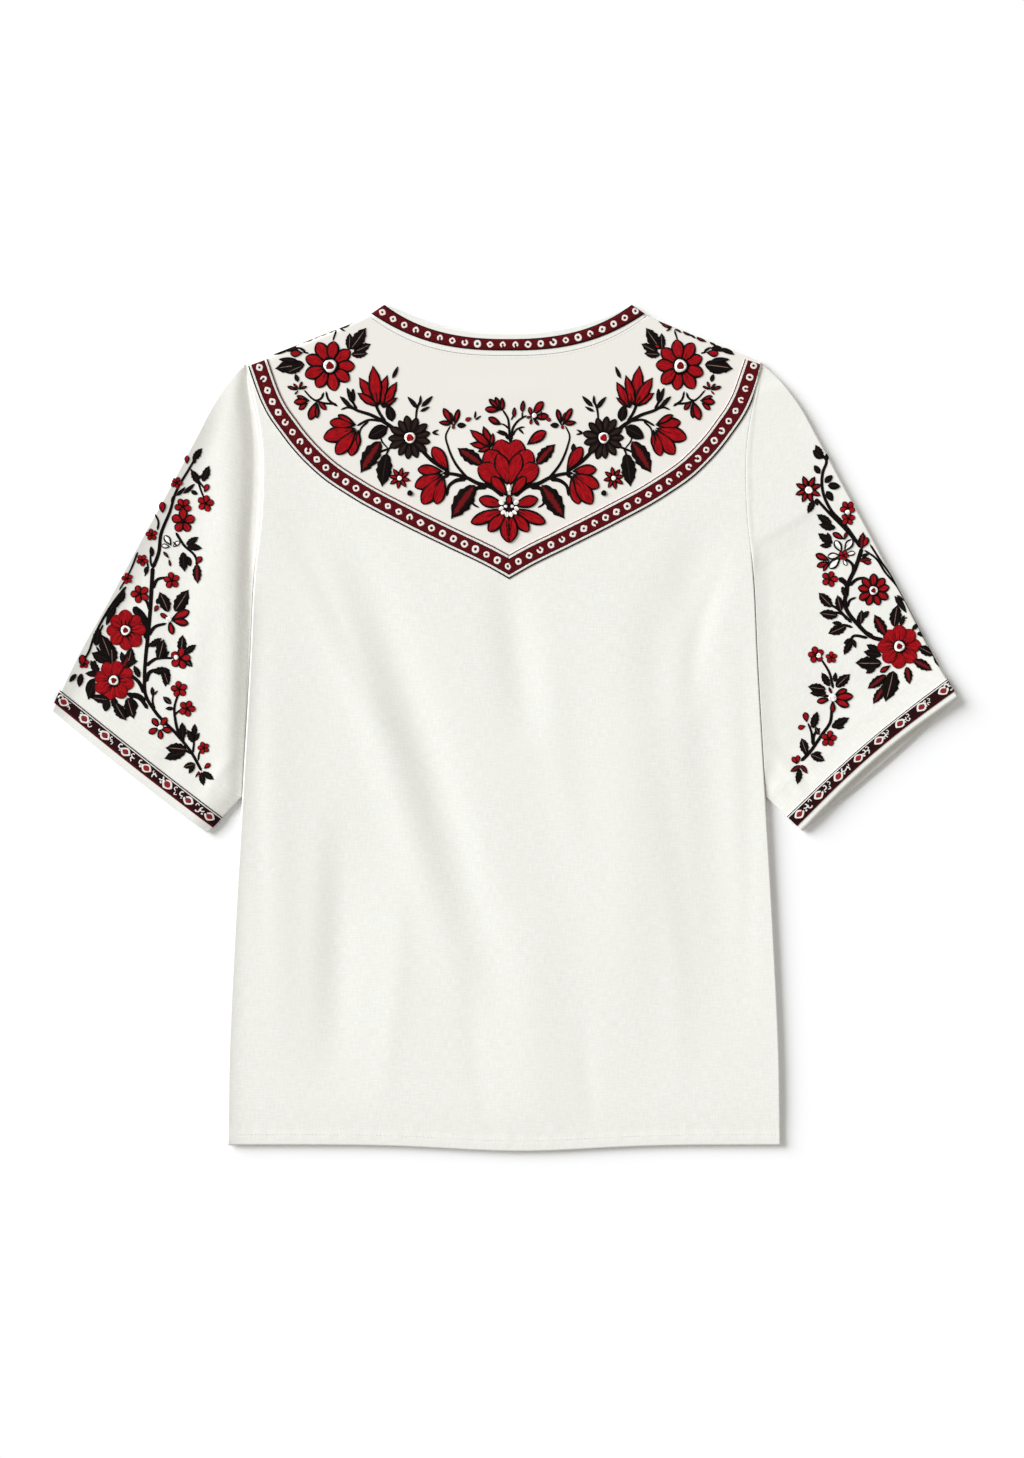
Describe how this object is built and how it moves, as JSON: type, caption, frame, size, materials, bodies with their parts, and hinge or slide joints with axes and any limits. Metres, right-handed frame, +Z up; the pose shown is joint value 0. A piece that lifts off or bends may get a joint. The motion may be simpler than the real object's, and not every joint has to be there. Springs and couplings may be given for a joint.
{
  "type": "v-neck blouse",
  "caption": "Wide-sleeved blouse laid flat with its back up: hip length, elbow-length sleeves, V neck in front, shallow round back neck, ribbon trims.",
  "frame": {"origin": "the middle of the footprint, on the surface that the blouse lies on", "axes": "+X towards the sleeve on the right as it lies, +Y from the hem towards the neck, +Z up out of the back panel"},
  "size_m": [0.7875, 0.7356, 0.0085],
  "materials": {
    "linen": "matte",
    "woven_ribbon": "matte"
  },
  "bodies": {
    "root": {"back_panel": "linen", "front_panel": "linen", "sleeve_left": "linen", "sleeve_right": "linen", "neck_band_back": "linen", "neck_band_front": "linen", "neck_trim": "woven_ribbon", "yoke_trim": "woven_ribbon", "cuff_trim_left": "woven_ribbon", "cuff_trim_right": "woven_ribbon"}
  },
  "joints": []
}
